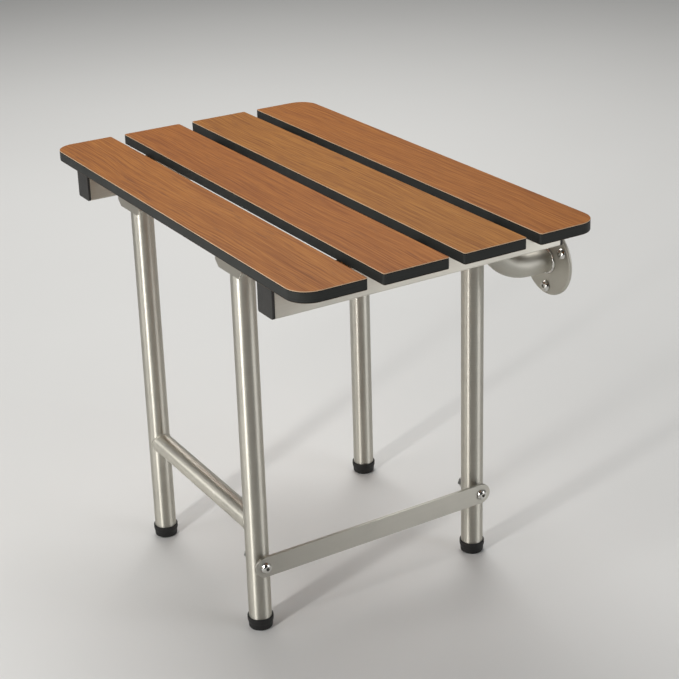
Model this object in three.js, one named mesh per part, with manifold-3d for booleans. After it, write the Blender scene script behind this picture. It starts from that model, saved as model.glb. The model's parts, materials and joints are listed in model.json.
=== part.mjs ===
// Wall-mounted fold-up shower seat on four swinging legs.
// Millimetres. +Z is up, +Y points at the wall, +X is to the right of someone facing the wall.
// The origin is on the floor, at the centre of the footprint.
import * as THREE from 'three'
import { mergeVertices } from 'three/addons/utils/BufferGeometryUtils.js'
import Module from 'manifold-3d'

const wasm = await Module()
wasm.setup()

// Driving dimensions
const SEAT = { width: 610, height: 478, wallGap: 18 }
const SLAT = { count: 4, depth: 79, gap: 18, thickness: 12.7, outerCorner: 25, innerCorner: 3 }
const RAIL = { width: 30, height: 35, wall: 2, corner: 2, x: 228.5, frontInset: 8, rearInset: 3 }
const CAP = { flange: 3, plug: 10 }
const LEG = { radius: 13.35, wall: 1.5, x: 125, frontInset: 35, rearInset: 335, pivotDrop: 27.5 }
const LEG_TOP_RADIUS = 13.9
const BUSH_RADIUS = 8.5
const FOOT = { height: 15, sole: 4, topRadius: 14.8, baseRadius: 15.1, chamfer: 0.8 }
const CROSS_TUBE = { radius: 12.5, wall: 1.5, z: 133 }
const AXLE_TUBE = { radius: 9.5, wall: 3 }
const LINK = { height: 25, thickness: 4, z: 86, legGap: 2.4 }
const LINK_BOLT = { radius: 4, collar: 7, headRadius: 6.6, headHeight: 4.2, nutRadius: 7.5, nutHeight: 6 }
const BRACKET = { width: 58, plate: 2.5, bottom: 440, depth: 32, chamfer: 7, slack: 1 }
const PIVOT_PIN = { radius: 4, headRadius: 6.5, headHeight: 2.2 }
const ROD = { radius: 6, headRadius: 8, headHeight: 5, nutRadius: 10.5, nutHeight: 8 }
const WALL = { flangeRadius: 41, flangeThickness: 4, x: 199, z: 396, screwCircle: 31 }
const ARM = { radius: 13, wall: 1.6, straight: 27, bendRadius: 57, bendDegrees: 50, tip: 6, steps: 10 }
const WELD = { width: 3.5, height: 3.5 }
const LUG = { thickness: 6, eyeRadius: 13 }
const WALL_SCREW = { radius: 3, headRadius: 6.5, headHeight: 3.8, angles: [30, 150, 270] }
const SLAT_SCREW = { radius: 2.5, headRadius: 4.6, headHeight: 2.6, bite: 8, access: 6 }
const BRACKET_SCREW = { radius: 2, headRadius: 4.2, headHeight: 2, bite: 8 }
const CLEAR = 0.3

// Places that follow from them
const SEAT_DEPTH = SLAT.count * SLAT.depth + (SLAT.count - 1) * SLAT.gap
const WALL_Y = (SEAT_DEPTH + SEAT.wallGap) / 2
const FRONT_Y = -WALL_Y
const UNDERSIDE_Z = SEAT.height - SLAT.thickness
const RAIL_TOP_Z = UNDERSIDE_Z - CLEAR
const PIVOT_Z = SEAT.height - LEG.pivotDrop
const FRONT_LEG_Y = FRONT_Y + LEG.frontInset
const REAR_LEG_Y = FRONT_Y + LEG.rearInset
const FLANGE_FACE_Y = WALL_Y - WALL.flangeThickness
const LINK_X = LEG.x + LEG.radius + LINK.legGap
const ARM_BEND = THREE.MathUtils.degToRad(ARM.bendDegrees)

const steel = new THREE.MeshStandardMaterial({ color: 0xbebcb2, roughness: 0.32, metalness: 1 })
const brightSteel = new THREE.MeshStandardMaterial({ color: 0xd0cec6, roughness: 0.18, metalness: 1 })
const laminate = new THREE.MeshStandardMaterial({ color: 0xa66f42, roughness: 0.5 })
const blackPlastic = new THREE.MeshStandardMaterial({ color: 0x3a3836, roughness: 0.5 })
const blackRubber = new THREE.MeshStandardMaterial({ color: 0x161414, roughness: 0.8 })

// Boolean helpers
function toSolid(geometry) {
  const bare = geometry.index ? geometry.toNonIndexed() : geometry.clone()
  bare.deleteAttribute('normal')
  bare.deleteAttribute('uv')
  const merged = mergeVertices(bare, 1e-3)
  return new wasm.Manifold(new wasm.Mesh({
    numProp: 3,
    vertProperties: new Float32Array(merged.attributes.position.array),
    triVerts: new Uint32Array(merged.index.array)
  }))
}

function toGeometry(solid) {
  const mesh = solid.getMesh()
  const geometry = new THREE.BufferGeometry()
  geometry.setAttribute('position', new THREE.BufferAttribute(mesh.vertProperties, 3))
  geometry.setIndex(new THREE.BufferAttribute(mesh.triVerts, 1))
  return geometry
}

function cut(geometry, ...cutters) {
  return toGeometry(cutters.reduce((solid, cutter) => solid.subtract(toSolid(cutter)), toSolid(geometry)))
}

function join(...geometries) {
  return toGeometry(geometries.map(toSolid).reduce((whole, piece) => whole.add(piece)))
}

// Shape helpers: lathes turn about Z, plates lie in XY and rise along +Z
function lathe(profile, sides) {
  const points = profile.map(([radius, z]) => new THREE.Vector2(radius, z))
  return new THREE.LatheGeometry(points, sides).rotateX(Math.PI / 2)
}

function rod(radius, bottom, top, sides = 16) {
  return lathe([[0, bottom], [radius, bottom], [radius, top], [0, top]], sides)
}

function pipe(outer, inner, bottom, top, sides = 24) {
  return lathe([[inner, bottom], [outer, bottom], [outer, top], [inner, top], [inner, bottom]], sides)
}

function crossRod(radius, halfLength, x, y, z, sides = 16) {
  return rod(radius, -halfLength, halfLength, sides).rotateY(Math.PI / 2).translate(x, y, z)
}

function block(width, depth, height, x, y, z) {
  return new THREE.BoxGeometry(width, depth, height).translate(x, y, z)
}

function plate(shape, thickness, curveSegments = 6) {
  return new THREE.ExtrudeGeometry(shape, { depth: thickness, bevelEnabled: false, curveSegments })
}

function roundHole(shape, x, y, radius) {
  const hole = new THREE.Path()
  hole.absarc(x, y, radius, 0, Math.PI * 2, true)
  shape.holes.push(hole)
}

function roundedRectangle(width, height, lowCorner, highCorner = lowCorner) {
  const right = width / 2
  const top = height / 2
  const shape = new THREE.Shape()
  shape.absarc(right - lowCorner, -top + lowCorner, lowCorner, -Math.PI / 2, 0)
  shape.absarc(right - highCorner, top - highCorner, highCorner, 0, Math.PI / 2)
  shape.absarc(-right + highCorner, top - highCorner, highCorner, Math.PI / 2, Math.PI)
  shape.absarc(-right + lowCorner, -top + lowCorner, lowCorner, Math.PI, Math.PI * 1.5)
  shape.closePath()
  return shape
}

function hexagon(radius) {
  const corners = Array.from({ length: 6 }, (_, i) => {
    const angle = (i * Math.PI) / 3
    return new THREE.Vector2(radius * Math.cos(angle), radius * Math.sin(angle))
  })
  return new THREE.Shape(corners)
}

// Placing helpers: a local +Z axis laid along +X or out of the wall, and a local XY plate stood in YZ
const DIAGONAL = new THREE.Vector3(1, 1, 1).normalize()
const STAND_IN_YZ = new THREE.Quaternion().setFromAxisAngle(DIAGONAL, (Math.PI * 2) / 3)
const wallMount = new THREE.Group()
const seat = new THREE.Group()
const frontLegs = new THREE.Group()
const rearLegs = new THREE.Group()
const link = new THREE.Group()

function add(body, name, geometry, material, x = 0, y = 0, z = 0) {
  const mesh = new THREE.Mesh(geometry, material)
  mesh.name = name
  mesh.position.set(x, y, z)
  body.add(mesh)
  return mesh
}

function addAlongX(body, name, geometry, material, x, y, z, side = 1) {
  add(body, name, geometry, material, x, y, z).rotation.y = (side * Math.PI) / 2
}

function addOutOfWall(body, name, geometry, material, x, z) {
  add(body, name, geometry, material, x, WALL_Y, z).rotation.x = Math.PI / 2
}

const SIDES = [['left', -1], ['right', 1]]

// Seat slats, with blind holes underneath for their screws
function slatFrontY(index) {
  return FRONT_Y + index * (SLAT.depth + SLAT.gap)
}

function slatScrewY(index) {
  const hingeSlat = index === SLAT.count - 1
  return slatFrontY(index) + (hingeSlat ? 14 : SLAT.depth / 2)
}

function bracketScrewPlaces(side) {
  const offset = BRACKET.width / 2 - 5.8
  return [-offset, offset].map(dx => [side * LEG.x + dx, FRONT_LEG_Y + 1])
}

function slat(index) {
  const front = index === 0 ? SLAT.outerCorner : SLAT.innerCorner
  const back = index === SLAT.count - 1 ? SLAT.outerCorner : SLAT.innerCorner
  const middleY = slatFrontY(index) + SLAT.depth / 2
  const board = plate(roundedRectangle(SEAT.width, SLAT.depth, front, back), SLAT.thickness, 5)
  const holes = SIDES.map(([, side]) => [side * RAIL.x, slatScrewY(index), SLAT_SCREW])
  if (index === 0) {
    for (const [, side] of SIDES) {
      for (const [x, y] of bracketScrewPlaces(side)) holes.push([x, y, BRACKET_SCREW])
    }
  }
  const bores = holes.map(([x, y, screw]) =>
    rod(screw.radius + CLEAR, -1, screw.bite + CLEAR, 10).translate(x, y - middleY, 0))
  add(seat, `seat_slat_${index + 1}`, cut(board, ...bores), laminate, 0, middleY, UNDERSIDE_Z)
}

// Side rails: rectangular tube with a hole for the hinge rod, screw holes and access holes
function railTube(side) {
  const length = SEAT_DEPTH - RAIL.frontInset - RAIL.rearInset
  const middleY = FRONT_Y + RAIL.frontInset + length / 2
  const section = roundedRectangle(RAIL.width, RAIL.height, RAIL.corner)
  const bore = roundedRectangle(RAIL.width - 2 * RAIL.wall, RAIL.height - 2 * RAIL.wall, 0.5)
  section.holes.push(new THREE.Path(bore.getPoints(1)))
  const tube = plate(section, length, 2).rotateX(Math.PI / 2).translate(0, length / 2, 0)
  const middleZ = RAIL_TOP_Z - RAIL.height / 2
  const cutters = [crossRod(ROD.radius + CLEAR, RAIL.width, 0, REAR_LEG_Y - middleY, PIVOT_Z - middleZ)]
  for (let index = 0; index < SLAT.count; index += 1) {
    const y = slatScrewY(index) - middleY
    cutters.push(rod(SLAT_SCREW.radius + CLEAR, 0, RAIL.height, 10).translate(0, y, 0))
    cutters.push(rod(SLAT_SCREW.access, -RAIL.height, 0, 12).translate(0, y, 0))
  }
  return { tube: cut(tube, ...cutters), x: side * RAIL.x, y: middleY, z: middleZ, length }
}

function railCap() {
  const face = plate(roundedRectangle(RAIL.width, RAIL.height, RAIL.corner), CAP.flange, 2)
  const reach = RAIL.wall + CLEAR
  const plug = plate(roundedRectangle(RAIL.width - 2 * reach, RAIL.height - 2 * reach, 1), CAP.plug, 2)
  return join(face.translate(0, 0, CLEAR), plug.translate(0, 0, CLEAR + 1 - CAP.plug))
}

function rail(name, side) {
  const { tube, x, y, z, length } = railTube(side)
  add(seat, `side_rail_${name}`, tube, steel, x, y, z)
  const front = add(seat, `rail_cap_front_${name}`, railCap(), blackPlastic, x, y - length / 2, z)
  front.rotation.x = Math.PI / 2
  const rear = add(seat, `rail_cap_rear_${name}`, railCap(), blackPlastic, x, y + length / 2, z)
  rear.rotation.x = -Math.PI / 2
  for (let index = 0; index < SLAT.count; index += 1) {
    const screw = woodScrew(SLAT_SCREW, RAIL.wall)
    add(seat, `slat_screw_${index + 1}_${name}`, screw, steel, x, slatScrewY(index), RAIL_TOP_Z - RAIL.wall)
  }
}

// Screw driven upwards into a slat through metal of the given thickness, which it starts under
function woodScrew({ radius, headRadius, headHeight, bite }, thickness) {
  const tip = thickness + CLEAR + bite
  return lathe([[0, -headHeight], [headRadius * 0.75, -headHeight], [headRadius, -CLEAR],
    [radius, -CLEAR], [radius, tip], [0, tip]], 10)
}

// Brackets that carry the front legs: a front stop plate, two cheeks and two screw flanges
function frontPlate() {
  const { width, plate: thickness, bottom, chamfer } = BRACKET
  const half = width / 2
  const shape = new THREE.Shape()
  shape.moveTo(-half, RAIL_TOP_Z)
  shape.lineTo(-half, bottom + chamfer)
  shape.lineTo(-half + chamfer, bottom)
  shape.lineTo(half - chamfer, bottom)
  shape.lineTo(half, bottom + chamfer)
  shape.lineTo(half, RAIL_TOP_Z)
  return plate(shape, thickness).rotateX(Math.PI / 2)
}

function bracketCheek(x) {
  const { plate: thickness, bottom, depth, chamfer } = BRACKET
  const shape = new THREE.Shape()
  shape.moveTo(0, bottom)
  shape.lineTo(depth - chamfer, bottom)
  shape.lineTo(depth, bottom + chamfer)
  shape.lineTo(depth, RAIL_TOP_Z)
  shape.lineTo(0, RAIL_TOP_Z)
  return plate(shape, thickness).applyQuaternion(STAND_IN_YZ).translate(x, 0, 0)
}

function legBracket(name, side) {
  const { width, plate: thickness, depth, slack } = BRACKET
  const faceY = FRONT_LEG_Y - LEG.radius - slack
  const inner = LEG.radius + slack
  const flangeWidth = width / 2 - inner
  const cheekHole = PIVOT_PIN.radius + CLEAR
  const parts = [frontPlate(), bracketCheek(inner), bracketCheek(-inner - thickness)]
  for (const hand of [-1, 1]) {
    const x = hand * (inner + flangeWidth / 2)
    parts.push(block(flangeWidth, depth, thickness, x, depth / 2, RAIL_TOP_Z - thickness / 2))
  }
  const hole = rod(BRACKET_SCREW.radius + CLEAR, RAIL_TOP_Z - 2 * thickness, RAIL_TOP_Z + thickness, 10)
  const holes = bracketScrewPlaces(side).map(([x, y]) => hole.clone().translate(x - side * LEG.x, y - faceY, 0))
  holes.push(crossRod(cheekHole, width / 2, 0, FRONT_LEG_Y - faceY, PIVOT_Z))
  add(seat, `leg_bracket_${name}`, cut(join(...parts), ...holes), steel, side * LEG.x, faceY, 0)
  const pin = pivotPin(inner + thickness + CLEAR)
  addAlongX(seat, `pivot_pin_${name}`, pin, brightSteel, side * LEG.x, FRONT_LEG_Y, PIVOT_Z)
  bracketScrewPlaces(side).forEach(([x, y], index) => {
    const screw = woodScrew(BRACKET_SCREW, thickness)
    add(seat, `bracket_screw_${index + 1}_${name}`, screw, brightSteel, x, y, RAIL_TOP_Z - thickness)
  })
}

function pivotPin(reach) {
  const { radius, headRadius, headHeight } = PIVOT_PIN
  const end = reach + headHeight
  return lathe([[0, -end], [headRadius * 0.75, -end], [headRadius, -reach], [radius, -reach],
    [radius, reach], [headRadius, reach], [headRadius * 0.75, end], [0, end]], 14)
}

// Legs: round tube with a rounded top, a bush across the top and a rubber ferrule
function legTopCutter() {
  const reach = 2 * LEG.radius
  const corner = block(reach * 2, reach * 2, reach, 0, 0, PIVOT_Z + reach / 2)
  return cut(corner, crossRod(LEG_TOP_RADIUS, reach * 2, 0, 0, PIVOT_Z, 24))
}

function leg(body, name, x, y, boreRadius, linked) {
  const tubeTop = PIVOT_Z + LEG_TOP_RADIUS
  const tube = pipe(LEG.radius, LEG.radius - LEG.wall, FOOT.sole + CLEAR, tubeTop)
  const cutters = [legTopCutter(), crossRod(BUSH_RADIUS + CLEAR, LEG.radius * 2, 0, 0, PIVOT_Z)]
  if (linked) cutters.push(crossRod(LINK_BOLT.radius + CLEAR, LEG.radius * 2, 0, 0, LINK.z, 10))
  add(body, `leg_${name}`, cut(tube, ...cutters), steel, x, y, 0)
  const bush = pipe(BUSH_RADIUS, boreRadius + CLEAR, -LEG.radius, LEG.radius, 16)
  addAlongX(body, `leg_bush_${name}`, bush, blackPlastic, x, y, PIVOT_Z)
  add(body, `foot_${name}`, foot(), blackRubber, x, y, 0)
}

function foot() {
  const { height, sole, topRadius, baseRadius, chamfer } = FOOT
  const socket = LEG.radius + CLEAR
  return lathe([[0, 0], [baseRadius - chamfer, 0], [baseRadius, chamfer], [topRadius, height],
    [socket, height], [socket, sole], [0, sole]], 24)
}

// Shoulder bolt: its collar keeps the link bar far enough out to swing past the front foot
function linkBolt() {
  const { radius, collar, headRadius, headHeight } = LINK_BOLT
  const face = LINK.legGap - CLEAR
  const shoulder = LINK.thickness + LINK.legGap + CLEAR
  const tip = -2 * LEG.radius - LINK_BOLT.nutHeight
  return lathe([[0, tip], [radius, tip], [radius, CLEAR], [collar, CLEAR], [collar, face], [radius, face],
    [radius, shoulder], [headRadius, shoulder], [headRadius, shoulder + 0.9],
    [headRadius * 0.7, shoulder + headHeight], [0, shoulder + headHeight]], 14)
}

function domedNut() {
  const { radius, nutRadius, nutHeight } = LINK_BOLT
  const domeRadius = nutRadius * 0.82
  const hex = plate(hexagon(nutRadius), nutHeight)
  const dome = lathe([[0, nutHeight - 1], [domeRadius, nutHeight - 1], [domeRadius, nutHeight + 0.4],
    [domeRadius * 0.75, nutHeight + 3], [domeRadius * 0.35, nutHeight + 4.4], [0, nutHeight + 4.4]], 12)
  return cut(join(hex, dome), rod(radius + CLEAR, -1, nutHeight + 1, 12))
}

function legPair(body, name, y, boreRadius) {
  for (const [hand, side] of SIDES) leg(body, `${name}_${hand}`, side * LEG.x, y, boreRadius, side > 0)
  addAlongX(body, `link_bolt_${name}`, linkBolt(), brightSteel, LEG.x + LEG.radius, y, LINK.z)
  addAlongX(body, `link_nut_${name}`, domedNut(), brightSteel, LEG.x - LEG.radius - CLEAR, y, LINK.z, -1)
}

function crossTube() {
  const { radius, wall } = CROSS_TUBE
  const tube = pipe(radius, radius - wall, -LEG.x, LEG.x).rotateY(Math.PI / 2)
  const copes = SIDES.map(([, side]) =>
    rod(LEG.radius + CLEAR, -LEG.x, LEG.x, 24).translate(side * LEG.x, 0, 0))
  add(frontLegs, 'front_cross_tube', cut(tube, ...copes), steel, 0, FRONT_LEG_Y, CROSS_TUBE.z)
}

function axleTube() {
  const reach = LEG.x - LEG.radius - CLEAR
  const tube = pipe(AXLE_TUBE.radius, AXLE_TUBE.radius - AXLE_TUBE.wall, -reach, reach, 20)
  addAlongX(rearLegs, 'rear_axle_tube', tube, steel, 0, REAR_LEG_Y, PIVOT_Z)
}

// Flat link bar between the right-hand legs
function linkBar() {
  const span = REAR_LEG_Y - FRONT_LEG_Y
  const radius = LINK.height / 2
  const shape = new THREE.Shape()
  shape.absarc(span, 0, radius, -Math.PI / 2, Math.PI / 2)
  shape.absarc(0, 0, radius, Math.PI / 2, Math.PI * 1.5)
  shape.closePath()
  roundHole(shape, 0, 0, LINK_BOLT.radius + CLEAR)
  roundHole(shape, span, 0, LINK_BOLT.radius + CLEAR)
  const bar = add(link, 'link_bar', plate(shape, LINK.thickness, 8), steel, LINK_X, FRONT_LEG_Y, LINK.z)
  bar.quaternion.copy(STAND_IN_YZ)
}

// Hinge rod across the back, with its nut
function hingeRod() {
  const railFace = RAIL.x + RAIL.width / 2 + 2 * CLEAR
  const tip = railFace + ROD.nutHeight + 3
  const profile = [[0, -tip], [ROD.radius - 1, -tip], [ROD.radius, -tip + 1], [ROD.radius, railFace],
    [ROD.headRadius, railFace], [ROD.headRadius, railFace + ROD.headHeight - 1],
    [ROD.headRadius - 2, railFace + ROD.headHeight], [0, railFace + ROD.headHeight]]
  addAlongX(wallMount, 'hinge_rod', lathe(profile, 18), steel, 0, REAR_LEG_Y, PIVOT_Z)
  const nut = hexagon(ROD.nutRadius)
  roundHole(nut, 0, 0, ROD.radius + CLEAR)
  addAlongX(wallMount, 'hinge_rod_nut', plate(nut, ROD.nutHeight), steel, -railFace, REAR_LEG_Y, PIVOT_Z, -1)
}

// Wall arms: straight out of the flange, then a bend upwards
class ArmLine extends THREE.Curve {
  constructor(lead, tip) {
    super()
    this.lengths = [ARM.straight + lead, ARM.bendRadius * ARM_BEND, ARM.tip + tip]
    this.lead = lead
  }

  getPoint(t, target = new THREE.Vector3()) {
    const [straight, bend, tip] = this.lengths
    const along = t * (straight + bend + tip)
    const angle = THREE.MathUtils.clamp((along - straight) / ARM.bendRadius, 0, ARM_BEND)
    const over = Math.max(0, along - straight - bend)
    const level = Math.min(along, straight) - this.lead
    const out = level + ARM.bendRadius * Math.sin(angle) + over * Math.cos(angle)
    const up = ARM.bendRadius * (1 - Math.cos(angle)) + over * Math.sin(angle)
    return target.set(0, -out, up)
  }
}

function armSweep(radius, lead, tip) {
  const section = new THREE.Shape()
  section.absarc(0, 0, radius, 0, Math.PI * 2)
  const path = new ArmLine(lead, tip)
  const options = { steps: ARM.steps, bevelEnabled: false, extrudePath: path, curveSegments: 9 }
  return new THREE.ExtrudeGeometry(section, options)
}

function wallArm(name, side) {
  const bead = lathe([[0, 0], [ARM.radius + WELD.width, 0], [ARM.radius, WELD.height], [0, WELD.height]], 18)
  const outside = join(armSweep(ARM.radius, 0, 0), bead.rotateX(Math.PI / 2))
  const hollow = armSweep(ARM.radius - ARM.wall, 2, -ARM.wall)
  add(wallMount, `wall_arm_${name}`, cut(outside, hollow), steel, side * WALL.x, FLANGE_FACE_Y - CLEAR, WALL.z)
}

// Hinge lugs: upright plates welded to the arms, with an eye for the rod
function hingeLug(name, side) {
  const eyeY = REAR_LEG_Y
  const armY = FLANGE_FACE_Y - CLEAR - ARM.straight
  const shape = new THREE.Shape()
  shape.absarc(eyeY, PIVOT_Z, LUG.eyeRadius, 0, Math.PI)
  shape.lineTo(armY - 0.70 * ARM.bendRadius, WALL.z + 0.49 * ARM.bendRadius)
  shape.lineTo(armY - 0.56 * ARM.bendRadius, WALL.z + 0.21 * ARM.bendRadius)
  shape.lineTo(armY - 0.21 * ARM.bendRadius, WALL.z + 0.07 * ARM.bendRadius)
  shape.closePath()
  roundHole(shape, eyeY, PIVOT_Z, ROD.radius + CLEAR)
  const upright = plate(shape, LUG.thickness, 8).applyQuaternion(STAND_IN_YZ)
  upright.translate(-LUG.thickness / 2, 0, 0)
  const arm = armSweep(ARM.radius + CLEAR, 2, 2).translate(0, FLANGE_FACE_Y - CLEAR, WALL.z)
  add(wallMount, `hinge_lug_${name}`, cut(upright, arm), steel, side * WALL.x, 0, 0)
}

function wallScrewPlaces(side) {
  return WALL_SCREW.angles.map(angle => {
    const turn = THREE.MathUtils.degToRad(angle)
    return [side * WALL.x + WALL.screwCircle * Math.cos(turn), WALL.z + WALL.screwCircle * Math.sin(turn)]
  })
}

function wallFlange(name, side) {
  const disc = rod(WALL.flangeRadius, 0, WALL.flangeThickness, 40)
  const hole = rod(WALL_SCREW.radius + CLEAR, -1, WALL.flangeThickness + 1, 12)
  const holes = wallScrewPlaces(side).map(([x, z]) => hole.clone().translate(x - side * WALL.x, z - WALL.z, 0))
  addOutOfWall(wallMount, `wall_flange_${name}`, cut(disc, ...holes), steel, side * WALL.x, WALL.z)
}

function wallScrew() {
  const { radius, headRadius, headHeight } = WALL_SCREW
  const seat = WALL.flangeThickness + CLEAR
  return lathe([[0, CLEAR], [radius, CLEAR], [radius, seat], [headRadius, seat], [headRadius, seat + 0.8],
    [headRadius * 0.6, seat + headHeight], [0, seat + headHeight]], 14)
}

function wallSide(name, side) {
  wallFlange(name, side)
  wallArm(name, side)
  hingeLug(name, side)
  wallScrewPlaces(side).forEach(([x, z], index) => {
    addOutOfWall(wallMount, `wall_screw_${index + 1}_${name}`, wallScrew(), brightSteel, x, z)
  })
}

for (let index = 0; index < SLAT.count; index += 1) slat(index)
for (const [name, side] of SIDES) {
  rail(name, side)
  legBracket(name, side)
  wallSide(name, side)
}
legPair(frontLegs, 'front', FRONT_LEG_Y, PIVOT_PIN.radius)
legPair(rearLegs, 'rear', REAR_LEG_Y, ROD.radius)
crossTube()
axleTube()
linkBar()
hingeRod()

const product = new THREE.Group()
product.add(wallMount, seat, frontLegs, rearLegs, link)

export default product
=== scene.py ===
# %% [markdown]
# # A fold-up shower seat
# Four laminate slats are screwed to two steel rails. The rails hinge on a rod between two wall arms, and
# two pairs of tube legs swing from the seat, so the whole seat folds up against the wall. The engineering
# model already fixes every size, place and joint. This lesson gives each of its pieces a finished
# surface.

# %% Load the engineering frame
import json
import math
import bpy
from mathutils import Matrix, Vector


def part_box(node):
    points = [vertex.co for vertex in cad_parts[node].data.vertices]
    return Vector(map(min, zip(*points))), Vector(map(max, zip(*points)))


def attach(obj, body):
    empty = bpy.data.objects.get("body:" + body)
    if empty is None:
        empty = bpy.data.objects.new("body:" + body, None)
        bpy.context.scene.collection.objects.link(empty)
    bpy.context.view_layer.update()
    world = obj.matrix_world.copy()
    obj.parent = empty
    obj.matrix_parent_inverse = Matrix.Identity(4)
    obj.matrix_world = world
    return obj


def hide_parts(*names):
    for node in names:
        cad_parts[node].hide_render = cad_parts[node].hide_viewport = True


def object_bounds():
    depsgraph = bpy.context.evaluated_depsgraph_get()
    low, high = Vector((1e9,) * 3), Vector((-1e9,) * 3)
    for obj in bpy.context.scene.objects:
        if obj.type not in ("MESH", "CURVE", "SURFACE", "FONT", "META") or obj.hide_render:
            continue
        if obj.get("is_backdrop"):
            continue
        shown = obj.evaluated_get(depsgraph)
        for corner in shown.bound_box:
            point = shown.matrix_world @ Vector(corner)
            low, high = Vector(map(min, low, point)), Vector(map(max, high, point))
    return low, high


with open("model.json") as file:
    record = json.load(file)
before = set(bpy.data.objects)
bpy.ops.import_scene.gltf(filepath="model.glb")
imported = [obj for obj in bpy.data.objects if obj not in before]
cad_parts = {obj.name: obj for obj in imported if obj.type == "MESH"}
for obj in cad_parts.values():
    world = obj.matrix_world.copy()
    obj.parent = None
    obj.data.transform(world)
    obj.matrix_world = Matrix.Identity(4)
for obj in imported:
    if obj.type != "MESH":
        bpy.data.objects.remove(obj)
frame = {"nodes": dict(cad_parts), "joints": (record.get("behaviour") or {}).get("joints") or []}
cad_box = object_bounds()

from types import SimpleNamespace

import bmesh
import bpy
from mathutils import Matrix, Vector

MM = 0.001
SIDES = ("left", "right")
scene = bpy.context.scene

# %% [markdown]
# ## Where things are
# Every place is read from the frame, never typed in. A small record of a node's lowest corner, highest
# corner, centre and size is all the later cells need.

# %% Measure a node


def measure(node):
    low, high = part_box(node)
    return SimpleNamespace(low=low, high=high, centre=(low + high) / 2, size=high - low)


leg_box = measure("leg_front_right")
slat_box = measure("seat_slat_1")
print("a leg is", round(leg_box.size.x / MM, 1), "mm across")
print("a slat is", round(slat_box.size.y / MM, 1), "mm deep")

# %% [markdown]
# ## The camera
# The seat is seen from its right-hand front corner, from a little above, through a long lens. A camera
# looks along its own -Z, so it is first tipped up from straight down, then turned about the vertical, and
# last rolled.

# %% Place the camera
camera_data = bpy.data.cameras.new("camera")
camera = bpy.data.objects.new("camera", camera_data)
scene.collection.objects.link(camera)
scene.camera = camera
CAMERA_PLACE = Vector((1.5229, -0.8812, 1.0414))
CAMERA_TURN, CAMERA_DOWN, CAMERA_ROLL = 59.98, 21.10, -2.08
CAMERA_LENS, CAMERA_SENSOR = 84.4, 36.0
CAMERA_SHIFT_X, CAMERA_SHIFT_Y = 0.04, -0.10
turn = Matrix.Rotation(math.radians(CAMERA_TURN), 4, "Z")
tip = Matrix.Rotation(math.radians(90 - CAMERA_DOWN), 4, "X")
roll = Matrix.Rotation(math.radians(CAMERA_ROLL), 4, "Z")
camera.matrix_world = Matrix.Translation(CAMERA_PLACE) @ turn @ tip @ roll
camera_data.sensor_width = CAMERA_SENSOR
camera_data.lens = CAMERA_LENS
camera_data.shift_x = CAMERA_SHIFT_X
camera_data.shift_y = CAMERA_SHIFT_Y
print("camera distance:", round(CAMERA_PLACE.length, 2), "m, lens", camera_data.lens, "mm")

# %% [markdown]
# ## Building shader and geometry trees
# Both kinds of node tree are built the same way: make a node, set what is a plain value and link what
# comes from another node. One helper does that for every tree below, so that each material reads like its
# recipe.

# %% A helper that makes one node


def add_node(tree, kind, settings=None, **inputs):
    made = tree.nodes.new(kind)
    for name, value in (settings or {}).items():
        setattr(made, name, value)
    for name, value in inputs.items():
        label = name.replace("_", " ")
        plug(tree, next(s for s in made.inputs if s.enabled and s.name == label), value)
    return made


def plug(tree, socket, value):
    if isinstance(value, bpy.types.NodeSocket):
        tree.links.new(value, socket)
    else:
        socket.default_value = value


def maths(tree, operation, first, second=0.0):
    made = tree.nodes.new("ShaderNodeMath")
    made.operation = operation
    plug(tree, made.inputs[0], first)
    plug(tree, made.inputs[1], second)
    return made.outputs[0]


# A colour mix shares its node with other kinds of mix, so its own sockets are these ones.
MIX_FACTOR, MIX_FIRST, MIX_SECOND, MIX_RESULT = 0, 6, 7, 2


def blend_colour(tree, share, first, second, how="MIX"):
    made = add_node(tree, "ShaderNodeMix", {"data_type": "RGBA", "blend_type": how})
    for index, value in ((MIX_FACTOR, share), (MIX_FIRST, first), (MIX_SECOND, second)):
        plug(tree, made.inputs[index], value)
    return made.outputs[MIX_RESULT]


def colour_steps(tree, value, steps, how="LINEAR"):
    made = add_node(tree, "ShaderNodeValToRGB", Fac=value)
    made.color_ramp.interpolation = how
    stops = made.color_ramp.elements
    while len(stops) < len(steps):
        stops.new(1.0)
    for stop, (place, colour) in zip(stops, steps):
        stop.position = place
        stop.color = (*colour, 1.0)
    return made.outputs["Color"]


def grain(tree, coordinates, stretch, detail=4.0, roughness=0.55, distortion=0.0):
    placed = add_node(tree, "ShaderNodeMapping", Vector=coordinates, Scale=stretch).outputs["Vector"]
    noise = add_node(tree, "ShaderNodeTexNoise", Vector=placed, Scale=1.0, Detail=detail,
                     Roughness=roughness, Distortion=distortion)
    return noise.outputs["Fac"]


def spread(tree, value, low, high, start=0.3, end=0.7):
    made = add_node(tree, "ShaderNodeMapRange", Value=value, From_Min=start, From_Max=end,
                    To_Min=low, To_Max=high)
    return made.outputs["Result"]


def new_material(name):
    material = bpy.data.materials.new(name)
    material.use_nodes = True
    tree = material.node_tree
    shader = tree.nodes["Principled BSDF"]
    coordinates = add_node(tree, "ShaderNodeTexCoord").outputs["Object"]
    return material, tree, shader, coordinates


def add_bump(tree, shader, height, strength, distance):
    bump = add_node(tree, "ShaderNodeBump", Height=height, Strength=strength, Distance=distance)
    tree.links.new(bump.outputs["Normal"], shader.inputs["Normal"])


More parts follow.
